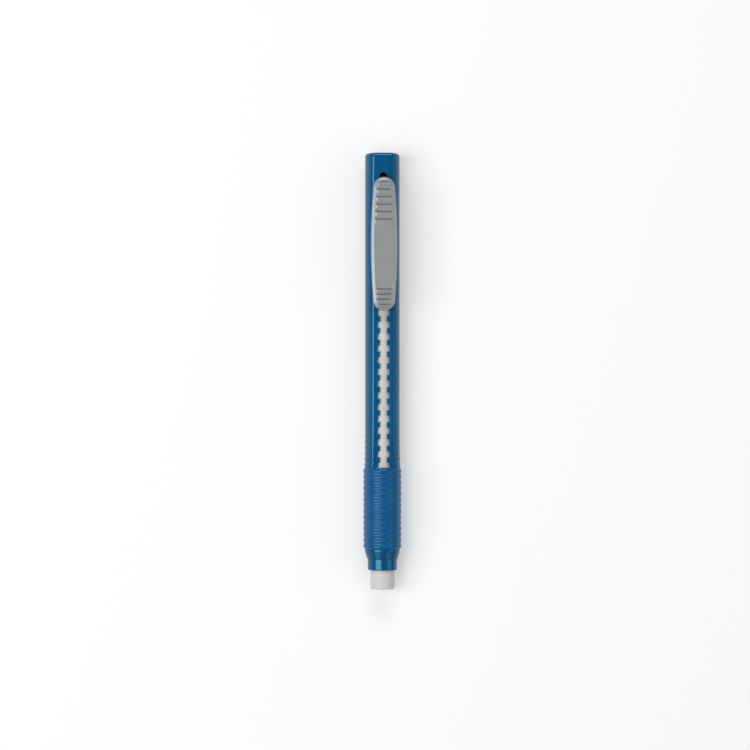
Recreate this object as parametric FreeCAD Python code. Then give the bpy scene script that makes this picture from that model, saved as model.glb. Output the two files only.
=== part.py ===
"""Retractable push-slide eraser, lying on its back.

Millimetres. +Y runs from the eraser's tip to the tail of the barrel, +Z points out through the clip,
and +X is to the right when the clip is looked at with the tail upwards. The origin is the centre of
the eraser stick's flat tip, which is also a point of the barrel's axis.
"""
import FreeCAD, Part
import math
import os

V = FreeCAD.Vector
ORIGIN = V(0, 0, 0)
ACROSS = V(1, 0, 0)
ALONG = V(0, 1, 0)
UP = V(0, 0, 1)

# whole eraser
LENGTH = 121.0
BARREL_R = 4.82
BORE_R = 3.65
FLAT_HEIGHT = 3.9
RUNNING_GAP = 0.1

# eraser stick
STICK_R = 3.375
STICK_LENGTH = 86.5
STICK_TIP_ROUND = 0.35
HELD_R = 3.05
HELD_LENGTH = 8.0
STICK_TAPER = 0.6

# nose: collar, cone and the spigot that plugs into the barrel
COLLAR_R = 4.08
COLLAR_FRONT = 5.3
COLLAR_REAR = 8.3
CONE_FRONT_R = 4.28
CONE_REAR_R = 4.89
NOSE_BORE_R = 3.45
SPIGOT_R = 3.95
SPIGOT_LENGTH = 5.0

# grip
GRIP_FRONT = 11.1
GRIP_REAR = 33.6
SEAT_R = 4.4
RIB_COUNT = 14
CREST_R = 5.38
TROUGH_R = 5.09
RIB_ROUND = 1.0

# ring ripples that carry the rhythm of the grip on up the barrel
FLARE_R = 4.97
RIPPLE_COUNT = 8
RIPPLE_LARGEST = 0.11

# slot
SLOT_REAR = 115.4
SLOT_HALF_WIDTH = 1.0
NOTCH_HALF_WIDTH = 1.72
NOTCH_LENGTH = 1.75
PITCH = 3.25
FIRST_NOTCH = 34.25
NOTCH_COUNT = 20

# end plug
PLUG_HEAD = 1.5
PLUG_ROUND = 1.2
PLUG_SPIGOT = 2.9
PLUG_CORE_R = 2.7

# clip
CLIP_FRONT = 77.1
CLIP_REAR = 113.86
CLIP_UNDERSIDE = 5.75
CLIP_CROWN = 7.65
CLIP_BEVEL = 0.8
CLIP_BEVEL_DROP = 0.36
CLIP_FRONT_CORNER = (3.02, 80.3)
CLIP_WAIST = (3.585, 94.3)
CLIP_REAR_CORNER = (2.95, 111.3)
STEP_RISE = 0.2
STEP_MARGIN = 0.3
GROOVE_HALF = 0.26
GROOVE_FLOOR = 7.2
THUMB_STEPS = (6, 112.48, 2.06)
TIP_STEPS = (4, 82.97, 1.43)
LIP_START = 78.6
LIP_DROP = 1.7

# rocking joint of the clip, and the lug that drops into the notches
PIVOT_Y = 100.0
PIVOT_Z = 1.6
KNUCKLE_R = 1.5
KNUCKLE_GAP = 0.05
NECK_HALF_WIDTH = 0.9
NECK_HALF_THICKNESS = 1.0
LUG_Y = 89.5
LUG_HALF_LENGTH = 0.65
LUG_HALF_WIDTH = 1.5
LUG_BOTTOM = 3.35
LUG_TOP = 3.95
GUSSET_BOTTOM = 4.15

# carriage and eraser holder
RUNNER_R = BORE_R - RUNNING_GAP
HOLDER_FRONT = STICK_LENGTH - HELD_LENGTH + 0.1
HOLDER_FLOOR = STICK_LENGTH + 0.1
JAW_INNER_R = HELD_R + 0.03
JAW_COUNT = 4
JAW_GAP = 0.9
CARRIAGE_FRONT = 93.0
CARRIAGE_REAR = 107.0
JOINING_R = 2.2
JOINING_LENGTH = 3.5
THROAT_HALF = 1.3
RELIEF_FLOOR = 2.9

# latch spring
LEAF_THICKNESS = 0.25
LEAF_HALF_WIDTH = 0.75
LEAF_SEAT_FRONT = 103.0
LEAF_BEND = 105.5
LEAF_REAR = 110.5
LEAF_SEAT_Z = 3.1


def rounded_outline(corners, place):
    """Closed face through the corners (u, v) or (u, v, radius). place(u, v) gives the point in space."""
    edges = []
    ends = []
    for n, corner in enumerate(corners):
        here = place(*corner[:2])
        radius = corner[2] if len(corner) > 2 else 0.0
        if not radius:
            ends.append((here, None, here))
            continue
        back = (place(*corners[n - 1][:2]) - here).normalize()
        on = (place(*corners[(n + 1) % len(corners)][:2]) - here).normalize()
        half = back.getAngle(on) / 2
        reach = radius / math.tan(half)
        inward = (back + on).normalize() * (radius / math.sin(half) - radius)
        ends.append((here + back * reach, here + inward, here + on * reach))
    for n, (start, middle, stop) in enumerate(ends):
        if middle is not None:
            edges.append(Part.Arc(start, middle, stop).toShape())
        following = ends[(n + 1) % len(ends)][0]
        if stop.distanceToPoint(following) > 1e-6:
            edges.append(Part.LineSegment(stop, following).toShape())
    return Part.Face(Part.Wire(edges))


def turned(corners):
    """Solid of revolution about the barrel's axis, from corners (radius, y) or (radius, y, rounding)."""
    face = rounded_outline(corners, lambda r, y: V(r, y, 0))
    return face.revolve(ORIGIN, ALONG, 360)


def block(half_width, y0, y1, z0, z1):
    """Box that is symmetric about the plane x = 0."""
    return Part.makeBox(2 * half_width, y1 - y0, z1 - z0, V(-half_width, y0, z0))


def cross_rod(radius, half_length, y, z):
    """Cylinder across the barrel."""
    return Part.makeCylinder(radius, 2 * half_length, V(-half_length, y, z), ACROSS)


def above_flat(y0, y1):
    """What is milled away from a round body to leave the flat land along its front."""
    return block(2 * BARREL_R, y0, y1, FLAT_HEIGHT, 2 * BARREL_R)


def waves(first, last, count, crest, trough, rounding):
    """Corners of ring waves between two places along the axis; crest and trough are functions of y."""
    step = (last - first) / (2 * count)
    corners = []
    for n in range(1, 2 * count):
        y = first + n * step
        radius = crest(y) if n % 2 else trough(y)
        corners.append((radius, y, rounding))
    return corners


def ripple_size(y):
    """How far a ripple stands from the mean surface: most beside the grip, nothing at the far end."""
    share = 1 - (y - GRIP_REAR) / (RIPPLE_COUNT * PITCH / 2)
    return RIPPLE_LARGEST * max(share, 0.0)


def ripple_mean(y):
    """Radius of the flared part of the barrel, without its ripples."""
    share = 1 - (y - GRIP_REAR) / (RIPPLE_COUNT * PITCH / 2)
    return BARREL_R + (FLARE_R - BARREL_R) * max(share, 0.0) ** 2


def barrel():
    ripple_end = GRIP_REAR + RIPPLE_COUNT * PITCH / 2
    tail = LENGTH - PLUG_HEAD
    joint = GRIP_FRONT + SPIGOT_LENGTH
    corners = [
        (SPIGOT_R, GRIP_FRONT),
        (SEAT_R, GRIP_FRONT),
        (SEAT_R, GRIP_REAR),
        (FLARE_R, GRIP_REAR),
    ]
    corners += waves(
        GRIP_REAR,
        ripple_end,
        RIPPLE_COUNT,
        lambda y: ripple_mean(y) + ripple_size(y),
        lambda y: ripple_mean(y) - ripple_size(y),
        RIB_ROUND,
    )
    corners += [
        (BARREL_R, ripple_end),
        (BARREL_R, tail),
        (BORE_R, tail),
        (BORE_R, joint),
        (SPIGOT_R, joint),
    ]
    body = turned(corners)
    body = body.cut(above_flat(GRIP_REAR, LENGTH))
    return body.cut(slot_cutter())


def slot_cutter():
    """The long slot with its round rear end and its row of square notches."""
    bottom = FLAT_HEIGHT - 1.5
    top = FLAT_HEIGHT + 1.5
    round_centre = SLOT_REAR - SLOT_HALF_WIDTH
    cutter = block(SLOT_HALF_WIDTH, FIRST_NOTCH, round_centre, bottom, top)
    rear_end = Part.makeCylinder(SLOT_HALF_WIDTH, top - bottom, V(0, round_centre, bottom), UP)
    pieces = [rear_end]
    for n in range(NOTCH_COUNT):
        middle = FIRST_NOTCH + n * PITCH
        half = NOTCH_LENGTH / 2
        pieces.append(block(NOTCH_HALF_WIDTH, middle - half, middle + half, bottom, top))
    return cutter.fuse(pieces).removeSplitter()


def nose_cone():
    spigot_end = GRIP_FRONT + SPIGOT_LENGTH
    return turned([
        (NOSE_BORE_R, COLLAR_FRONT, 0.1),
        (COLLAR_R, COLLAR_FRONT, 0.25),
        (COLLAR_R, COLLAR_REAR),
        (CONE_FRONT_R, COLLAR_REAR + 0.05, 0.1),
        (CONE_REAR_R - 0.08, GRIP_FRONT - 0.9, 2.0),
        (CONE_REAR_R, GRIP_FRONT, 0.1),
        (SPIGOT_R, GRIP_FRONT),
        (SPIGOT_R, spigot_end, 0.1),
        (NOSE_BORE_R, spigot_end, 0.1),
    ])


def grip_sleeve():
    corners = [(SEAT_R, GRIP_FRONT), (CONE_REAR_R, GRIP_FRONT, 0.1)]
    corners += waves(
        GRIP_FRONT,
        GRIP_REAR,
        RIB_COUNT,
        lambda y: CREST_R,
        lambda y: TROUGH_R,
        RIB_ROUND,
    )
    corners += [(FLARE_R + 0.1, GRIP_REAR, 0.1), (SEAT_R, GRIP_REAR)]
    return turned(corners)


def end_plug():
    seam = LENGTH - PLUG_HEAD
    inner = seam - PLUG_SPIGOT
    body = turned([
        (0, seam - 0.9),
        (PLUG_CORE_R, seam - 0.9),
        (PLUG_CORE_R, inner),
        (BORE_R, inner, 0.2),
        (BORE_R, seam),
        (BARREL_R, seam),
        (BARREL_R, LENGTH, PLUG_ROUND),
        (0, LENGTH),
    ])
    return body.cut(above_flat(seam, LENGTH + 1))


def eraser_stick():
    held_front = STICK_LENGTH - HELD_LENGTH
    return turned([
        (0, 0),
        (STICK_R, 0, STICK_TIP_ROUND),
        (STICK_R, held_front - STICK_TAPER),
        (HELD_R, held_front),
        (HELD_R, STICK_LENGTH, 0.2),
        (0, STICK_LENGTH),
    ])


def eraser_holder():
    body = turned([
        (0, HOLDER_FLOOR),
        (JAW_INNER_R, HOLDER_FLOOR),
        (JAW_INNER_R, HOLDER_FRONT),
        (RUNNER_R, HOLDER_FRONT, 0.2),
        (RUNNER_R, CARRIAGE_FRONT),
        (JOINING_R, CARRIAGE_FRONT),
        (JOINING_R, CARRIAGE_FRONT + JOINING_LENGTH),
        (0, CARRIAGE_FRONT + JOINING_LENGTH),
    ])
    gap_end = HOLDER_FLOOR - 1.0
    for n in range(JAW_COUNT):
        gap = Part.makeBox(
            JAW_GAP, gap_end - HOLDER_FRONT + 1, BORE_R, V(-JAW_GAP / 2, HOLDER_FRONT - 1, 0)
        )
        gap.rotate(ORIGIN, ALONG, 45 + 360 / JAW_COUNT * n)
        body = body.cut(gap)
    relief = block(LUG_HALF_WIDTH + 0.3, LUG_Y - 2.4, LUG_Y + 2.4, RELIEF_FLOOR, BORE_R)
    return body.cut(relief)


def carriage():
    body = turned([
        (0, CARRIAGE_FRONT + JOINING_LENGTH),
        (JOINING_R, CARRIAGE_FRONT + JOINING_LENGTH),
        (JOINING_R, CARRIAGE_FRONT),
        (RUNNER_R, CARRIAGE_FRONT),
        (RUNNER_R, CARRIAGE_REAR, 0.3),
        (0, CARRIAGE_REAR),
    ])
    socket_half = NECK_HALF_WIDTH + RUNNING_GAP
    socket = cross_rod(KNUCKLE_R + KNUCKLE_GAP, socket_half, PIVOT_Y, PIVOT_Z)
    throat = block(socket_half, PIVOT_Y - THROAT_HALF, PIVOT_Y + THROAT_HALF, PIVOT_Z, BORE_R)
    leaf_seat = block(
        LEAF_HALF_WIDTH + RUNNING_GAP, LEAF_SEAT_FRONT, CARRIAGE_REAR + 1, LEAF_SEAT_Z, BORE_R
    )
    return body.cut([socket.fuse(throat), leaf_seat])


def clip_outline(inset):
    """Face of the clip's plan shape, narrowed by inset all round, at the height of its underside."""
    def at(point, side=1):
        return V(side * point[0], point[1], CLIP_UNDERSIDE)

    front_tip = V(0, CLIP_FRONT, CLIP_UNDERSIDE)
    rear_tip = V(0, CLIP_REAR, CLIP_UNDERSIDE)
    edges = [
        Part.Arc(at(CLIP_FRONT_CORNER), at(CLIP_WAIST), at(CLIP_REAR_CORNER)),
        Part.Arc(at(CLIP_REAR_CORNER), rear_tip, at(CLIP_REAR_CORNER, -1)),
        Part.Arc(at(CLIP_REAR_CORNER, -1), at(CLIP_WAIST, -1), at(CLIP_FRONT_CORNER, -1)),
        Part.Arc(at(CLIP_FRONT_CORNER, -1), front_tip, at(CLIP_FRONT_CORNER)),
    ]
    face = Part.Face(Part.Wire([edge.toShape() for edge in edges]))
    return face.makeOffset2D(-inset) if inset else face


def step_cutter(count, first, pitch):
    """Room over a row of finger steps: each falls towards the tip, down to the groove before the next."""
    surface = [(first + pitch, CLIP_CROWN)]
    for n in range(count):
        groove = first - n * pitch
        surface.append((groove + GROOVE_HALF, CLIP_CROWN - STEP_RISE))
        surface.append((groove, GROOVE_FLOOR))
        surface.append((groove - GROOVE_HALF, CLIP_CROWN + STEP_RISE))
    surface.append((first - count * pitch, CLIP_CROWN))
    roof = [(first - count * pitch, CLIP_CROWN + 1), (first + pitch, CLIP_CROWN + 1)]
    return rounded_outline(surface + roof, lambda y, z: V(-5, y, z)).extrude(ACROSS * 10)


def clip_bar():
    """The bar that is seen from outside, with bevelled edges, cross steps and the lip at its front."""
    bevel_start = CLIP_CROWN - CLIP_BEVEL_DROP
    lower = clip_outline(0).extrude(UP * (bevel_start - CLIP_UNDERSIDE))
    base = clip_outline(0).OuterWire
    base.translate(UP * (bevel_start - CLIP_UNDERSIDE))
    crown = clip_outline(CLIP_BEVEL).OuterWire
    crown.translate(UP * (CLIP_CROWN - CLIP_UNDERSIDE))
    bar = lower.fuse(Part.makeLoft([base, crown], True, False)).removeSplitter()

    step_room = clip_outline(CLIP_BEVEL + STEP_MARGIN).extrude(UP * 4)
    for count, first, pitch in (THUMB_STEPS, TIP_STEPS):
        pad = block(5, first - count * pitch, first + pitch, GROOVE_FLOOR, CLIP_CROWN + STEP_RISE)
        bar = bar.fuse(pad.common(step_room))
        bar = bar.cut(step_cutter(count, first, pitch).common(step_room))
    lip = rounded_outline(
        [
            (LIP_START, CLIP_CROWN),
            (LIP_START, CLIP_CROWN + 1),
            (CLIP_FRONT - 1, CLIP_CROWN + 1),
            (CLIP_FRONT - 1, CLIP_CROWN - LIP_DROP),
        ],
        lambda y, z: V(-5, y, z),
    ).extrude(ACROSS * 10)
    return bar.cut(lip)


def clip():
    into_bar = CLIP_UNDERSIDE + 0.5
    knuckle = cross_rod(KNUCKLE_R, NECK_HALF_WIDTH, PIVOT_Y, PIVOT_Z)
    neck = block(
        NECK_HALF_WIDTH,
        PIVOT_Y - NECK_HALF_THICKNESS,
        PIVOT_Y + NECK_HALF_THICKNESS,
        PIVOT_Z,
        into_bar,
    )
    neck_foot = block(NECK_HALF_WIDTH, PIVOT_Y - 3.0, PIVOT_Y + 3.5, GUSSET_BOTTOM, into_bar)
    lug_front = LUG_Y - LUG_HALF_LENGTH
    lug_rear = LUG_Y + LUG_HALF_LENGTH
    lug = block(LUG_HALF_WIDTH, lug_front, lug_rear, LUG_BOTTOM, LUG_TOP)
    lug_rib = block(NECK_HALF_WIDTH, lug_front, lug_rear, LUG_BOTTOM, into_bar)
    lug_foot = block(NECK_HALF_WIDTH, LUG_Y - 2.0, LUG_Y + 2.0, GUSSET_BOTTOM, into_bar)
    pieces = [knuckle, neck, neck_foot, lug, lug_rib, lug_foot]
    return clip_bar().fuse(pieces).removeSplitter()


def latch_spring():
    """Bent leaf: its front lies in the carriage and its rear end bears on the clip's underside."""
    low = LEAF_SEAT_Z
    high = CLIP_UNDERSIDE - 0.02
    up = LEAF_THICKNESS
    return rounded_outline(
        [
            (LEAF_SEAT_FRONT + 0.1, low),
            (LEAF_BEND, low, 1.0),
            (LEAF_REAR, high - up, 0.8),
            (LEAF_REAR + 0.8, high - up - 0.1),
            (LEAF_REAR + 0.8, high - 0.1),
            (LEAF_REAR - 0.1, high, 1.0),
            (LEAF_BEND - 0.1, low + up, 0.8),
            (LEAF_SEAT_FRONT + 0.1, low + up),
        ],
        lambda y, z: V(-LEAF_HALF_WIDTH, y, z),
    ).extrude(ACROSS * 2 * LEAF_HALF_WIDTH)


PARTS = (
    barrel,
    end_plug,
    nose_cone,
    grip_sleeve,
    clip,
    carriage,
    eraser_holder,
    latch_spring,
    eraser_stick,
)

os.makedirs("parts", exist_ok=True)
for make in PARTS:
    shape = make()
    solids = shape.Solids
    box = shape.BoundBox
    print(
        f"{make.__name__}: {len(solids)} solid, {shape.Volume:.1f} mm3, valid {shape.isValid()}, "
        f"y {box.YMin:.2f} to {box.YMax:.2f}, z {box.ZMin:.2f} to {box.ZMax:.2f}"
    )
    if len(solids) != 1:
        raise SystemExit(f"{make.__name__} is not one solid")
    solids[0].exportStep(f"parts/{make.__name__}.step")
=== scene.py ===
"""Looks of the retractable eraser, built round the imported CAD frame.

Sizes in this script are millimetres in the row frame: +Y runs from the eraser's tip to the tail,
+Z points out through the slot and the clip, and the origin is the centre of the stick's tip.
"""

import math

import bpy
import numpy as np
from mathutils import Matrix, Vector


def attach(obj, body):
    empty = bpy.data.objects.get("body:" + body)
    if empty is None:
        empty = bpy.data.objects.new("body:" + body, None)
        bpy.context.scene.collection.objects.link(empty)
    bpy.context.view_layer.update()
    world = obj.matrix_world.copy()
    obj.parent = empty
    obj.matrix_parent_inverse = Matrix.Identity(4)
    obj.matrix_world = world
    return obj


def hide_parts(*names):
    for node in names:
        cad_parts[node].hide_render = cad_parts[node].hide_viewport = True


MM = 0.001

# barrel and its slot
LENGTH = 121.0
BARREL_R = 4.82
BORE_R = 3.65
LAND_Z = 3.9
LAND_FRONT_Z = 3.84
LAND_REAR_Z = 3.97
SHOULDER = 0.22
TAIL_ROUND = 0.95
TAIL_DOME = 0.08
TAIL_SEAM = 120.15
SLOT_HALF = 1.0
SLOT_ROUND_Y = 114.4
NOTCH_HALF = 1.72
NOTCH_LENGTH = 1.75
NOTCH_PITCH = 3.25
FIRST_NOTCH = 34.25
NOTCH_COUNT = 20
FLARE_R = 4.97
RIPPLE_PITCH = 1.625
RIPPLE_COUNT = 8
RIPPLE_LARGEST = 0.088

# grip
GRIP_FRONT = 11.1
GRIP_REAR = 33.6
GRIP_END_R = 4.95
SEAT_R = 4.4
RIB_COUNT = 14
RIB_STEPS = 16
CREST_R = 5.31
TROUGH_R = 5.14

# nose
COLLAR_R = 4.08
COLLAR_FRONT = 5.3
COLLAR_REAR = 8.3
CONE_FRONT_R = 4.28
CONE_BEND = (4.83, 10.2)  # radius, and place along the axis
CONE_REAR_R = 4.89
NOSE_BORE_R = 3.45
SPIGOT_R = 3.95
SPIGOT_REAR = 16.1

# eraser stick
STICK_R = 3.375
STICK_LENGTH = 86.5
HELD_R = 3.05
HELD_LENGTH = 8.0

# clip
CLIP_FRONT = 77.1
CLIP_REAR = 113.86
CLIP_MIDDLE = 97.0
CLIP_BOTTOM = 5.75
CLIP_CROWN = 7.65
CLIP_BEVEL = 0.8
CLIP_BEVEL_DROP = 0.36
CLIP_COLUMNS = 20
FRONT_CORNER = (3.02, 80.3)
WAIST = (3.585, 94.3)
REAR_CORNER = (2.95, 111.3)
STEPS = ((112.48, 2.06, 6), (82.97, 1.43, 4))  # rearmost groove, pitch, number of grooves
STEP_RISE = 0.2
GROOVE_HALF = 0.26
GROOVE_DEPTH = 0.35
LIP_START = 78.5
LIP_SLOPE = 0.7

# neck, knuckle and lug under the clip
NECK_HALF = 0.9
FOOT_BOTTOM = 4.15
FOOT_ROOT = 6.2
PIVOT_Y = 100.0
PIVOT_Z = 1.6
KNUCKLE_R = 1.5
LUG_Y = 89.5
LUG_HALF = (1.5, 0.65)  # half its width, and half its length
LUG_BOTTOM = 3.35
LUG_TOP = 3.95

# floor, and the camera's place above it
FLOOR_Z = -5.33
LOOK_AT = (-2.05, 59.4, 0.0)
CAMERA_ROLL = math.radians(4)
CAMERA_AWAY = 700.0
CAMERA_LENS = 120.96


# ---------------------------------------------------------------- mesh helpers

def rounded(corners, steps=5):
    """Points (u, v) along a polyline whose corners (u, v, radius) are rounded by arcs."""
    points = []
    for n, (u, v, radius) in enumerate(corners):
        here = Vector((u, v))
        if not radius:
            points.append(here)
            continue
        back = (Vector(corners[n - 1][:2]) - here).normalized()
        on = (Vector(corners[(n + 1) % len(corners)][:2]) - here).normalized()
        half = back.angle(on) / 2
        middle = here + (back + on).normalized() * (radius / math.sin(half))
        start = here + back * (radius / math.tan(half)) - middle
        turn = math.pi - 2 * half
        if back.x * on.y - back.y * on.x > 0:
            turn = -turn
        for k in range(steps + 1):
            angle = turn * k / steps
            cos, sin = math.cos(angle), math.sin(angle)
            points.append(middle + Vector((cos * start.x - sin * start.y, sin * start.x + cos * start.y)))
    return [(p.x, p.y) for p in points]


def make_piece(name, points, faces, body, slot, material, sharp=40, edge=0.0):
    """Mesh object from millimetre points, smooth but for edges sharper than the given angle.

    A piece with an edge width gets those edges rounded a little, as moulded edges are.
    """
    mesh = bpy.data.meshes.new(name)
    mesh.from_pydata([Vector(p) * MM for p in points], [], faces)
    mesh.materials.append(material)
    mesh.shade_smooth()
    mesh.set_sharp_from_angle(angle=math.radians(sharp))
    piece = bpy.data.objects.new(name, mesh)
    bpy.context.scene.collection.objects.link(piece)
    if edge:
        bevel = piece.modifiers.new("edges", "BEVEL")
        bevel.width = edge * MM
        bevel.segments = 2
        bevel.limit_method = "ANGLE"
        bevel.angle_limit = math.radians(40)
    normals = piece.modifiers.new("normals", "WEIGHTED_NORMAL")
    normals.keep_sharp = True
    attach(piece, body)
    return piece


def lathe(profile, around=96):
    """Points and faces of a solid of revolution about the axis, from a closed profile (radius, y)."""
    points = []
    for n in range(around):
        angle = 2 * math.pi * n / around
        points += [(r * math.sin(angle), y, r * math.cos(angle)) for r, y in profile]
    size = len(profile)
    faces = []
    for n in range(around):
        here = n * size
        there = (n + 1) % around * size
        for k in range(size):
            following = (k + 1) % size
            if profile[k][0] < 1e-6 and profile[following][0] < 1e-6:
                continue
            faces.append((here + k, here + following, there + following, there + k))
    return merged(points, faces)


def merged(points, faces):
    """Joins points that coincide, and drops the faces that collapse."""
    places = {}
    kept = []
    new_index = []
    for p in points:
        key = tuple(round(c, 5) for c in p)
        if key not in places:
            places[key] = len(kept)
            kept.append(p)
        new_index.append(places[key])
    new_faces = []
    for face in faces:
        corners = []
        for i in face:
            i = new_index[i]
            if i not in corners:
                corners.append(i)
        if len(corners) > 2:
            new_faces.append(corners)
    return kept, new_faces


def shell(outer, inner, keep):
    """Wall between two grids [row][column] of points that go round, kept where keep(row, column) says."""
    rows, columns = len(outer), len(outer[0])
    points = [p for row in outer for p in row] + [p for row in inner for p in row]
    inside = rows * columns

    def kept(row, column):
        return 0 <= row < rows - 1 and keep(row, column % columns)

    faces = []
    for i in range(rows - 1):
        for j in range(columns):
            if not kept(i, j):
                continue
            a, b = i * columns + j, i * columns + (j + 1) % columns
            c, d = b + columns, a + columns
            faces.append((a, b, c, d))
            faces.append((inside + a, inside + d, inside + c, inside + b))
            sides = (
                (kept(i - 1, j), b, a),
                (kept(i, j + 1), c, b),
                (kept(i + 1, j), d, c),
                (kept(i, j - 1), a, d),
            )
            for has_neighbour, p, q in sides:
                if not has_neighbour:
                    faces.append((p, q, inside + q, inside + p))
    return points, faces


def plate(half_width, outline):
    """Upright plate across the symmetry plane, from an outline of points (y, z)."""
    size = len(outline)
    points = [(x, y, z) for x in (-half_width, half_width) for y, z in outline]
    faces = [list(reversed(range(size))), list(range(size, 2 * size))]
    for k in range(size):
        following = (k + 1) % size
        faces.append((k, following, size + following, size + k))
    return points, faces


# ------------------------------------------------------------------- materials

def new_material(name, colour, roughness, **uniform):
    """Principled material; the uniform values are set straight on the shader's sockets."""
    material = bpy.data.materials.new(name)
    material.use_nodes = True
    shader = material.node_tree.nodes["Principled BSDF"]
    shader.inputs["Base Color"].default_value = (*colour, 1)
    shader.inputs["Roughness"].default_value = roughness
    for socket, value in uniform.items():
        shader.inputs[socket.replace("_", " ")].default_value = value
    return material


def noise(material, scale, detail=2.0, stretch=(1, 1, 1)):
    """Object-space noise, scale in cells per metre."""
    tree = material.node_tree
    place = tree.nodes.new("ShaderNodeTexCoord")
    mapping = tree.nodes.new("ShaderNodeMapping")
    mapping.inputs["Scale"].default_value = stretch
    texture = tree.nodes.new("ShaderNodeTexNoise")
    texture.inputs["Scale"].default_value = scale
    texture.inputs["Detail"].default_value = detail
    tree.links.new(place.outputs["Object"], mapping.inputs["Vector"])
    tree.links.new(mapping.outputs["Vector"], texture.inputs["Vector"])
    return texture.outputs["Fac"]


def vary(material, socket, source, low, high):
    """Links a shader value to noise, between low and high."""
    tree = material.node_tree
    span = tree.nodes.new("ShaderNodeMapRange")
    span.inputs["From Min"].default_value = 0.3
    span.inputs["From Max"].default_value = 0.7
    span.inputs["To Min"].default_value = low
    span.inputs["To Max"].default_value = high
    tree.links.new(source, span.inputs["Value"])
    tree.links.new(span.outputs["Result"], tree.nodes["Principled BSDF"].inputs[socket])


def tint(material, source, dark, light):
    """Links the base colour to noise, between two close colours."""
    tree = material.node_tree
    ramp = tree.nodes.new("ShaderNodeValToRGB")
    ramp.color_ramp.elements[0].position = 0.3
    ramp.color_ramp.elements[0].color = (*dark, 1)
    ramp.color_ramp.elements[1].position = 0.7
    ramp.color_ramp.elements[1].color = (*light, 1)
    tree.links.new(source, ramp.inputs["Fac"])
    tree.links.new(ramp.outputs["Color"], tree.nodes["Principled BSDF"].inputs["Base Color"])


def relief(material, source, height, strength=1.0):
    """Bump from noise, its height in millimetres."""
    tree = material.node_tree
    bump = tree.nodes.new("ShaderNodeBump")
    bump.inputs["Distance"].default_value = height * MM
    bump.inputs["Strength"].default_value = strength
    tree.links.new(source, bump.inputs["Height"])
    tree.links.new(bump.outputs["Normal"], tree.nodes["Principled BSDF"].inputs["Normal"])


def barrel_plastic():
    material = new_material("barrel_plastic", (0.001, 0.085, 0.2), 0.08, Specular_Tint=(0.38, 0.9, 1.0, 1))
    tint(material, noise(material, 330, stretch=(1, 0.07, 1)), (0.0003, 0.05, 0.146), (0.0008, 0.075, 0.19))
    vary(material, "Roughness", noise(material, 600, 3), 0.1, 0.15)
    relief(material, noise(material, 2500), 0.0015)
    return material


def grip_rubber():
    material = new_material("grip_rubber", (0.0005, 0.07, 0.21), 0.28, Specular_IOR_Level=0.42,
                            Specular_Tint=(0.5, 0.95, 1.0, 1))
    tint(material, noise(material, 500, 4), (0.0003, 0.063, 0.195), (0.001, 0.077, 0.222))
    vary(material, "Roughness", noise(material, 900, 3), 0.24, 0.33)
    relief(material, noise(material, 6000, 3), 0.02)
    return material


def clip_plastic():
    material = new_material("clip_plastic", (0.25, 0.265, 0.27), 0.26, Specular_IOR_Level=0.7)
    tint(material, noise(material, 400, 4), (0.226, 0.24, 0.244), (0.244, 0.258, 0.262))
    vary(material, "Roughness", noise(material, 1500, 3), 0.22, 0.3)
    relief(material, noise(material, 9000, 2), 0.005)
    return material


def inner_plastic():
    material = new_material("inner_plastic", (0.55, 0.56, 0.56), 0.4)
    tint(material, noise(material, 300, 3), (0.52, 0.53, 0.53), (0.58, 0.59, 0.59))
    vary(material, "Roughness", noise(material, 900, 3), 0.35, 0.5)
    relief(material, noise(material, 6000, 2), 0.008)
    return material


def spring_steel():
    material = new_material("spring_steel", (0.55, 0.56, 0.58), 0.3, Metallic=1.0)
    vary(material, "Roughness", noise(material, 900, 3, stretch=(1, 0.05, 1)), 0.22, 0.38)
    relief(material, noise(material, 4000, 2, stretch=(1, 0.05, 1)), 0.004)
    return material


def eraser_vinyl():
    material = new_material("eraser_vinyl", (0.6, 0.59, 0.585), 0.6, Subsurface_Weight=0.5,
                            Subsurface_Radius=(1.0, 1.0, 1.0), Subsurface_Scale=1.0 * MM)
    tint(material, noise(material, 250, 5), (0.51, 0.505, 0.497), (0.56, 0.555, 0.547))
    vary(material, "Roughness", noise(material, 1200, 3), 0.52, 0.7)
    relief(material, noise(material, 5000, 4), 0.015)
    return material


# ---------------------------------------------------------------------- barrel

def section_radius(angle, radius, y):
    """Radius of the body at an angle from +Z: round, but for the flat land, with a rounded shoulder.

    A radius under the barrel's own shrinks the whole section, as the rounded tail does.
    """
    if abs(angle) > math.radians(80):
        return radius
    share = (y - GRIP_REAR) / (LENGTH - GRIP_REAR)
    flat = (LAND_FRONT_Z + (LAND_REAR_Z - LAND_FRONT_Z) * share) / math.cos(angle)
    full = max(radius, BARREL_R)
    lower = min(full, flat)
    gap = abs(full - flat)
    if gap < SHOULDER:
        lower -= (SHOULDER - gap) ** 2 / (4 * SHOULDER)
    return lower * radius / full


def column_angles():
    """Angles from +Z of the body's columns: at the slot's edges, and finer on the shoulders."""
    half = [SLOT_HALF * math.sin(math.radians(15 * k)) for k in range(7)] + [NOTCH_HALF]
    angles = [math.atan(x / LAND_Z) for x in half]
    shoulder = math.acos(LAND_Z / BARREL_R)
    angles += [shoulder + math.radians(a) for a in (-7, -4, -2.6, -1.9, -1.2, -0.6, 0, 0.6, 1.2, 1.9, 2.6, 4)]
    angles += [math.radians(43 + k * 137 / 34) for k in range(35)]
    return [-a for a in reversed(angles[1:-1])] + angles


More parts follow.
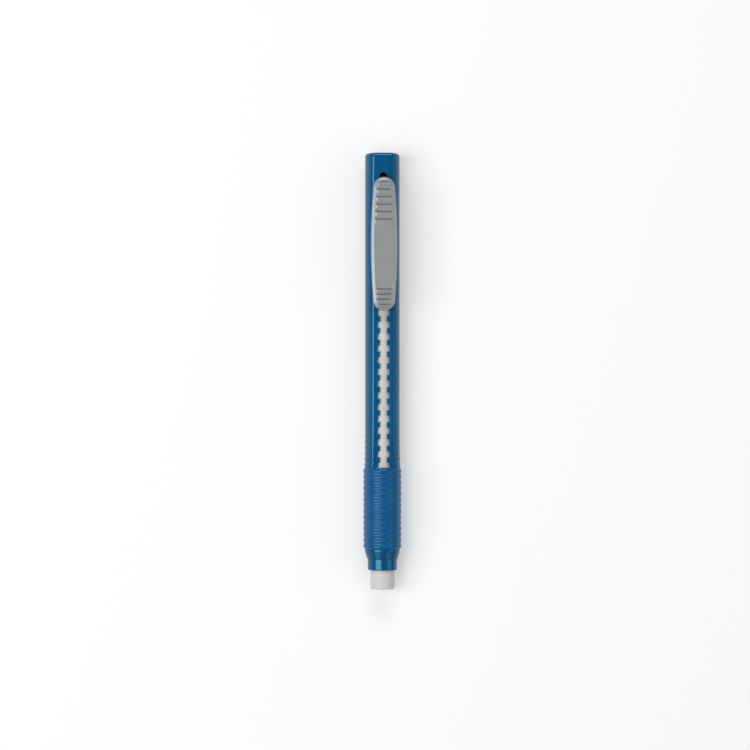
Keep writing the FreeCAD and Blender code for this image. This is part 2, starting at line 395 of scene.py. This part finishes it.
def inner_point(x, angle, y):
    """Point of the bore that belongs to an outer point: straight below it beside the slot."""
    edge_out = math.atan(NOTCH_HALF / LAND_Z)
    if abs(angle) <= edge_out + 1e-6:
        return (x, y, math.sqrt(BORE_R ** 2 - x * x))
    edge_in = math.asin(NOTCH_HALF / BORE_R)
    share = (math.pi - abs(angle)) / (math.pi - edge_out)
    a = math.copysign(math.pi - share * (math.pi - edge_in), angle)
    return (BORE_R * math.sin(a), y, BORE_R * math.cos(a))


def barrel_radius(y):
    """Radius of the body behind the grip: ring ripples that fade out up the flare, and a rounded tail."""
    into_tail = y - (LENGTH - TAIL_DOME - TAIL_ROUND)
    if into_tail > 0:
        return BARREL_R - TAIL_ROUND + math.sqrt(max(TAIL_ROUND ** 2 - into_tail ** 2, 0.0))
    share = 1 - (y - GRIP_REAR) / (RIPPLE_COUNT * RIPPLE_PITCH)
    if share <= 0:
        return BARREL_R
    mean = BARREL_R + (FLARE_R - BARREL_R) * share ** 2
    phase = (y - GRIP_REAR) / RIPPLE_PITCH
    return mean - RIPPLE_LARGEST * share * math.cos(2 * math.pi * phase)


def notch_edges():
    edges = []
    for n in range(NOTCH_COUNT):
        middle = FIRST_NOTCH + n * NOTCH_PITCH
        edges += [middle - NOTCH_LENGTH / 2, middle + NOTCH_LENGTH / 2]
    return edges


def barrel_rows():
    """Places along the barrel of its rows: on every notch edge, and close together over the ripples."""
    rows = [GRIP_REAR] + [y for y in notch_edges() if y > GRIP_REAR]
    fine_end = GRIP_REAR + RIPPLE_COUNT * RIPPLE_PITCH
    steps = round((fine_end - GRIP_REAR) / 0.2)
    for n in range(1, steps + 1):
        y = GRIP_REAR + n * (fine_end - GRIP_REAR) / steps
        if min(abs(y - other) for other in rows) > 0.07:
            rows.append(y)
    rows += [104, 108, 112, SLOT_ROUND_Y]
    rows += [SLOT_ROUND_Y + 1.4, SLOT_ROUND_Y + 2.6, SLOT_ROUND_Y + 4.6]
    round_start = LENGTH - TAIL_DOME - TAIL_ROUND
    rows += [round_start + (TAIL_SEAM - round_start) * k / 3 for k in range(4)]
    return sorted(rows)


def barrel(material):
    angles = column_angles()
    rows = barrel_rows()
    notches = notch_edges()
    outer, inner = [], []
    for y in rows:
        bend = max(0.0, 1 - (y - SLOT_ROUND_Y) / 3.0) if y >= SLOT_ROUND_Y else 0.0
        outer_row, inner_row = [], []
        for angle in angles:
            r = section_radius(angle, barrel_radius(y), y)
            x, z = r * math.sin(angle), r * math.cos(angle)
            reach = math.sqrt(max(SLOT_HALF ** 2 - x * x, 0.0)) if z > 0 else 0.0
            bent = y + bend * reach
            outer_row.append((x, bent, z))
            inner_row.append(inner_point(x, angle, bent))
        outer.append(outer_row)
        inner.append(inner_row)

    def keep(row, column):
        middle = (rows[row] + rows[row + 1]) / 2
        first = angles[column]
        second = angles[(column + 1) % len(angles)]
        x = LAND_Z * abs(math.tan((first + second) / 2))
        if second < first or abs(first) > 1 or middle > SLOT_ROUND_Y:
            return True
        in_notch = any(a < middle < b for a, b in zip(notches[::2], notches[1::2]))
        return x > (NOTCH_HALF if in_notch else SLOT_HALF)

    points, faces = shell(outer, inner, keep)
    piece = make_piece("barrel_body", points, faces, "barrel", "barrel_plastic", material, edge=0.07)
    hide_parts("barrel")


def barrel_seat(material):
    """Thin front part of the barrel, under the grip and round the nose's spigot."""
    bore = BORE_R + 0.01
    rear = GRIP_REAR + 0.15
    profile = [
        (SPIGOT_R, GRIP_FRONT), (SEAT_R, GRIP_FRONT), (SEAT_R, rear), (bore, rear), (bore, SPIGOT_REAR),
        (SPIGOT_R, SPIGOT_REAR),
    ]
    make_piece("barrel_seat", *lathe(profile), "barrel", "barrel_plastic", material)


def end_plug(material):
    """Closed tail, which carries on the barrel's rounding and its land."""
    edge = barrel_radius(TAIL_SEAM)
    profile = [(BORE_R, TAIL_SEAM + 0.02), (edge - 0.03, TAIL_SEAM + 0.02)]
    top = LENGTH - TAIL_DOME
    for k in range(10):
        y = top - (top - TAIL_SEAM - 0.05) * (1 - k / 9) ** 2
        profile.append((barrel_radius(y), y))
    profile += [(3.0, top + 0.4 * TAIL_DOME), (2.0, top + 0.7 * TAIL_DOME), (1.0, top + 0.9 * TAIL_DOME)]
    angles = column_angles()
    points = []
    for r, y in profile:
        for angle in angles:
            here = section_radius(angle, r, y)
            points.append((here * math.sin(angle), y, here * math.cos(angle)))
    size = len(angles)
    faces = []
    for i in range(len(profile) - 1):
        for j in range(size):
            a, b = i * size + j, i * size + (j + 1) % size
            faces.append((a, b, b + size, a + size))
    faces.append([(len(profile) - 1) * size + j for j in range(size)])
    faces.append([j for j in reversed(range(size))])
    piece = make_piece("tail_plug", points, faces, "barrel", "barrel_plastic", material)
    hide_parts("end_plug")


def nose_cone(material):
    profile = rounded([
        (NOSE_BORE_R, COLLAR_FRONT, 0.1),
        (COLLAR_R, COLLAR_FRONT, 0.25),
        (COLLAR_R, COLLAR_REAR, 0.05),
        (CONE_FRONT_R, COLLAR_REAR + 0.06, 0.12),
        (*CONE_BEND, 2.0),
        (CONE_REAR_R, GRIP_FRONT, 0.1),
        (SPIGOT_R, GRIP_FRONT, 0),
        (SPIGOT_R, SPIGOT_REAR, 0.1),
        (NOSE_BORE_R, SPIGOT_REAR, 0.1),
    ])
    piece = make_piece("nose", *lathe(profile), "barrel", "barrel_plastic", material)
    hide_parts("nose_cone")


def grip_sleeve(material):
    """Ribbed sleeve; its troughs run out to a smaller radius over the last half millimetre of each end."""
    profile = [(SEAT_R, GRIP_FRONT), (GRIP_END_R - 0.1, GRIP_FRONT), (GRIP_END_R - 0.05, GRIP_FRONT + 0.05)]
    steps = RIB_STEPS * RIB_COUNT
    for n in range(1, steps):
        y = GRIP_FRONT + n * (GRIP_REAR - GRIP_FRONT) / steps
        wave = 0.5 - 0.5 * math.cos(2 * math.pi * n / RIB_STEPS)
        inward = min(1.0, (y - GRIP_FRONT) / 0.5, (GRIP_REAR - y) / 0.5)
        trough = GRIP_END_R + (TROUGH_R - GRIP_END_R) * inward
        profile.append((trough + (CREST_R - trough) * wave, y))
    profile += [(GRIP_END_R + 0.05, GRIP_REAR - 0.05), (GRIP_END_R, GRIP_REAR), (SEAT_R, GRIP_REAR)]
    piece = make_piece("grip", *lathe(profile, 120), "barrel", "grip_rubber", material)
    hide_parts("grip_sleeve")


def eraser_stick(material):
    held = STICK_LENGTH - HELD_LENGTH
    profile = rounded([
        (0, 0, 0),
        (STICK_R, 0, 0.35),
        (STICK_R, held - 0.6, 0.5),
        (HELD_R, held, 0.5),
        (HELD_R, STICK_LENGTH, 0.2),
        (0, STICK_LENGTH, 0),
    ], 6)
    piece = make_piece("eraser", *lathe(profile, 96), "eraser", "eraser_vinyl", material)
    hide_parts("eraser_stick")


# ------------------------------------------------------------------------ clip

def circle_through(a, b, c):
    """Centre and radius of the circle through three points."""
    a, b, c = np.array(a), np.array(b), np.array(c)
    x, y = np.linalg.solve([(b - a) * 2, (c - a) * 2], [b @ b - a @ a, c @ c - a @ a])
    return Vector((x, y)), math.hypot(a[0] - x, a[1] - y)


FRONT_ARC = circle_through(FRONT_CORNER, (0, CLIP_FRONT), (-FRONT_CORNER[0], FRONT_CORNER[1]))
SIDE_ARC = circle_through(FRONT_CORNER, WAIST, REAR_CORNER)
REAR_ARC = circle_through(REAR_CORNER, (0, CLIP_REAR), (-REAR_CORNER[0], REAR_CORNER[1]))


def crown_edge(y):
    """Half width of the clip's flat crown at y, and the outward direction of its edge there."""
    found = []
    for centre, radius in (FRONT_ARC, SIDE_ARC, REAR_ARC):
        across = (radius - CLIP_BEVEL) ** 2 - (y - centre.y) ** 2
        if centre.x > -1 and (y - centre.y) * (centre.y - CLIP_MIDDLE) < 0:
            continue
        x = centre.x + math.sqrt(max(across, 0.0))
        found.append((x, (Vector((x, y)) - centre).normalized()))
    return min(found, key=lambda f: f[0])


def clip_rows():
    """Places along the clip of its rows: round its ends, and close together over the thumb steps."""
    rows = []
    for centre, radius, sign in ((*FRONT_ARC, -1), (*REAR_ARC, 1)):
        for k in range(13):
            rows.append(centre.y + sign * (radius - CLIP_BEVEL) * math.cos(math.radians(7.5 * k)))
    fine = [LIP_START]
    for first, pitch, count in STEPS:
        for n in range(count):
            groove = first - n * pitch
            fine += [groove + GROOVE_HALF * share for share in (-1.0, -0.55, -0.06, 0.06, 0.55, 1.0)]
            fine += [groove - pitch * k / 6 for k in range(1, 6)]
    fine += [85 + 1.25 * k for k in range(13)]
    for y in sorted(fine):
        if rows[0] + 0.02 < y < rows[13] - 0.02 and min(abs(y - other) for other in rows) > 0.03:
            rows.append(y)
    return sorted(rows)


def step_height(y):
    """Height of the thumb steps over the crown: treads that curve down towards the tip, and grooves."""
    for first, pitch, count in STEPS:
        along = (first - y) / pitch
        if not -1 < along < count:
            continue
        nearest = min(max(round(along), 0), count - 1)
        groove = max(0.0, 1 - abs(along - nearest) * pitch / GROOVE_HALF)
        if along < 0:
            tread = -(1 + along) ** 2
        elif along < count - 1:
            tread = 1 - 2 * (along % 1) ** 2
        else:
            tread = (count - along) ** 2
        return STEP_RISE * tread - GROOVE_DEPTH * groove
    return 0.0


def clip_height(x, y, half_width):
    """Height of the crown: flat, dipping at its front, with the thumb steps short of its sides."""
    side = min(1.0, max(0.0, (half_width - 0.2 - abs(x)) / 0.15))
    return CLIP_CROWN - max(0.0, LIP_START - y) * LIP_SLOPE + side * step_height(y)


def clip_crown(rows, edges):
    """Points of the crown, and the grid of their numbers: one line across the clip for each row."""
    points, grid = [], []
    for y, (half, _) in zip(rows, edges):
        line = []
        for k in range(CLIP_COLUMNS + 1):
            x = -half * math.cos(math.pi * k / CLIP_COLUMNS) if half > 1e-4 else 0.0
            line.append(len(points))
            points.append((x, y, clip_height(x, y, half)))
        grid.append(line)
    return points, grid


def clip_rings(rows, edges, points, grid):
    """Rings of point numbers round the clip, from the crown's edge over the bevel to the underside."""
    outline = [(1, i) for i in range(len(rows))] + [(-1, i) for i in reversed(range(len(rows)))]
    profile = rounded([
        (-0.3, CLIP_CROWN, 0), (0, CLIP_CROWN, 0.15), (CLIP_BEVEL, CLIP_CROWN - CLIP_BEVEL_DROP, 0.15),
        (CLIP_BEVEL, CLIP_BOTTOM, 0.15), (0.6, CLIP_BOTTOM, 0),
    ], 4)[1:]
    rings = [[grid[i][-1] if side > 0 else grid[i][0] for side, i in outline]]
    for out, z in profile:
        ring = []
        for side, i in outline:
            half, normal = edges[i]
            dip = clip_height(half, rows[i], half) - CLIP_CROWN
            share = max(0.0, (z - CLIP_BOTTOM) / (CLIP_CROWN - CLIP_BOTTOM))
            ring.append(len(points))
            points.append((side * (half + out * normal.x), rows[i] + out * normal.y, z + dip * share))
        rings.append(ring)
    return rings


def clip_bar(material):
    rows = clip_rows()
    edges = [crown_edge(y) for y in rows]
    points, grid = clip_crown(rows, edges)
    rings = clip_rings(rows, edges, points, grid)
    faces = []
    for lower, upper in zip(grid, grid[1:]):
        for k in range(CLIP_COLUMNS):
            faces.append((lower[k], lower[k + 1], upper[k + 1], upper[k]))
    for upper, lower in zip(rings, rings[1:]):
        for k in range(len(upper)):
            following = (k + 1) % len(upper)
            faces.append((upper[k], lower[k], lower[following], upper[following]))
    last = rings[-1]
    for i in range(len(rows) - 1):
        faces.append((last[i + 1], last[i], last[-1 - i], last[-2 - i]))
    points, faces = merged(points, faces)
    piece = make_piece("clip_bar", points, faces, "clip", "clip_plastic", material, 50)
    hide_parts("clip")


def tee(stem_front, stem_rear, stem_bottom, foot_front, foot_rear):
    """Outline (y, z) of a stem whose wider foot is rooted in the clip's underside."""
    return [
        (stem_front, stem_bottom),
        (stem_rear, stem_bottom),
        (stem_rear, FOOT_BOTTOM),
        (foot_rear, FOOT_BOTTOM),
        (foot_rear, FOOT_ROOT),
        (foot_front, FOOT_ROOT),
        (foot_front, FOOT_BOTTOM),
        (stem_front, FOOT_BOTTOM),
    ]


def clip_works(material):
    """Neck, knuckle and lug under the clip, which reach down through the slot."""
    lug_front, lug_rear = LUG_Y - LUG_HALF[1], LUG_Y + LUG_HALF[1]
    lug = [(lug_front, LUG_BOTTOM), (lug_rear, LUG_BOTTOM), (lug_rear, LUG_TOP), (lug_front, LUG_TOP)]
    neck = tee(PIVOT_Y - 1, PIVOT_Y + 1, PIVOT_Z, PIVOT_Y - 3, PIVOT_Y + 3.5)
    lug_stem = tee(lug_front + 0.02, lug_rear - 0.02, LUG_BOTTOM + 0.25, LUG_Y - 2, LUG_Y + 2)
    for name, half_width, outline in (
        ("clip_neck", NECK_HALF, neck),
        ("clip_lug_stem", NECK_HALF, lug_stem),
        ("clip_lug", LUG_HALF[0], lug),
    ):
        make_piece(name, *plate(half_width, outline), "clip", "clip_plastic", material, edge=0.06)

    end = NECK_HALF + 0.02
    profile = rounded([(0, -end, 0), (KNUCKLE_R, -end, 0.1), (KNUCKLE_R, end, 0.1), (0, end, 0)], 3)
    points, faces = lathe(profile, 40)
    points = [(y, PIVOT_Y + x, PIVOT_Z + z) for x, y, z in points]
    make_piece("clip_knuckle", points, faces, "clip", "clip_plastic", material)


# ----------------------------------------------------------------------- scene

def softbox(name, direction, away, size, energy, middle=LENGTH / 2):
    """Rectangular light that faces a place on the eraser's axis; lengths in millimetres."""
    lamp = bpy.data.lights.new(name, "AREA")
    lamp.shape = "RECTANGLE"
    lamp.size, lamp.size_y = size[0] * MM, size[1] * MM
    lamp.energy = energy
    box = bpy.data.objects.new(name, lamp)
    back = Vector(direction).normalized()
    across = Vector((0, 1, 0)).cross(back).normalized()
    box.matrix_world = Matrix((across, back.cross(across), back)).transposed().to_4x4()
    box.location = (back * away + Vector((0, middle, 0))) * MM
    bpy.context.scene.collection.objects.link(box)


def studio():
    """Colour management, the surrounding light and the soft lights."""
    scene = bpy.context.scene
    scene.view_settings.view_transform = "Standard"
    world = bpy.data.worlds.new("studio")
    world.use_nodes = True
    background = world.node_tree.nodes["Background"]
    background.inputs["Color"].default_value = (1.0, 1.0, 1.0, 1)
    background.inputs["Strength"].default_value = 0.3
    scene.world = world
    softbox("upper", (0.0, 0.75, 0.66), 1200, (700, 400), 5.0)
    softbox("lower_left", (-0.55, -0.5, 0.67), 1000, (600, 500), 1.3)
    softbox("lower_right", (0.6, -0.5, 0.62), 1000, (600, 500), 0.7)
    softbox("left", (-0.574, 0.0, 0.819), 1000, (770, 400), 6.4, 50)
    softbox("right", (0.81, 0.0, 0.59), 1000, (560, 420), 1.0)


def pale_floor():
    mesh = bpy.data.meshes.new("floor")
    corners = [(x, y, FLOOR_Z * MM) for x, y in ((-3, -3), (3, -3), (3, 3), (-3, 3))]
    mesh.from_pydata(corners, [], [(0, 1, 2, 3)])
    floor = bpy.data.objects.new("floor", mesh)
    paper = new_material("paper", (0.55, 0.55, 0.55), 0.8, Emission_Color=(1, 1, 1, 1),
                         Emission_Strength=0.33)
    floor.data.materials.append(paper)
    bpy.context.scene.collection.objects.link(floor)


def camera():
    data = bpy.data.cameras.new("camera")
    data.lens = CAMERA_LENS
    data.sensor_width = 36.0
    data.clip_start = 0.01
    eye = bpy.data.objects.new("camera", data)
    away = Vector((-math.sin(CAMERA_ROLL), 0, math.cos(CAMERA_ROLL)))
    eye.location = (Vector(LOOK_AT) + away * CAMERA_AWAY) * MM
    eye.rotation_euler = (0, -CAMERA_ROLL, 0)
    bpy.context.scene.collection.objects.link(eye)
    bpy.context.scene.camera = eye


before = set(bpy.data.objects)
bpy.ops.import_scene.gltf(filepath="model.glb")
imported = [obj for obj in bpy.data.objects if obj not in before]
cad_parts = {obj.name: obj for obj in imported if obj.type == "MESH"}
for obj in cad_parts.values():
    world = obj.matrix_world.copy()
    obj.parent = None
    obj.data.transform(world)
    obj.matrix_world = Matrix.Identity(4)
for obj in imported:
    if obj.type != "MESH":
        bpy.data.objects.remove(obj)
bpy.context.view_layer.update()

blue = barrel_plastic()
barrel(blue)
barrel_seat(blue)
end_plug(blue)
nose_cone(blue)
grip_sleeve(grip_rubber())
eraser_stick(eraser_vinyl())
grey = clip_plastic()
clip_bar(grey)
clip_works(grey)
pale = inner_plastic()
steel = spring_steel()
for node, material in (("carriage", pale), ("eraser_holder", pale), ("latch_spring", steel)):
    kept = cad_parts[node]
    for place in kept.material_slots:
        place.material = material

studio()
pale_floor()
camera()
